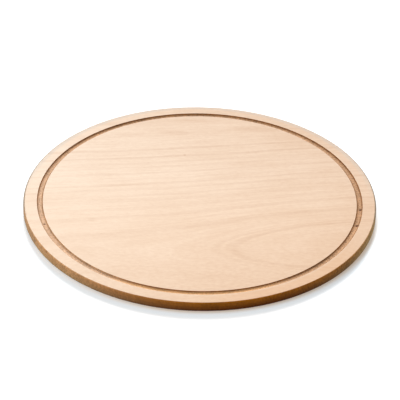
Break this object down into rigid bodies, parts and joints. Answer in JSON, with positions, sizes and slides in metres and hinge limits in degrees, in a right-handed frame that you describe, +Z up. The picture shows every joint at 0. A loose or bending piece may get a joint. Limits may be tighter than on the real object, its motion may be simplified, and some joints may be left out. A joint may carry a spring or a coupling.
{
  "type": "pizza serving board",
  "caption": "Thin round beech plywood board for serving and cutting pizza, with a shallow round-bottomed juice groove inside its flat rim and softly rounded edges.",
  "frame": {"origin": "middle of the underside, on the surface that the board lies on", "axes": "+Z up out of the serving face, along the axis of the disc; +X along the grain of the face veneer"},
  "size_m": [0.32, 0.32, 0.009],
  "materials": {
    "face_veneer": "sanded, bare",
    "crossband": "cut, bare",
    "long_ply": "cut, bare",
    "glue": "cured resin film"
  },
  "bodies": {
    "root": {"face_veneer_centre": "face_veneer", "face_veneer_rim": "face_veneer", "upper_crossband": "crossband", "upper_long_ply": "long_ply", "middle_ply": "crossband", "lower_long_ply": "long_ply", "lower_crossband": "crossband", "back_veneer": "face_veneer", "glue_line_1": "glue", "glue_line_2": "glue", "glue_line_3": "glue", "glue_line_4": "glue", "glue_line_5": "glue", "glue_line_6": "glue"}
  },
  "joints": []
}
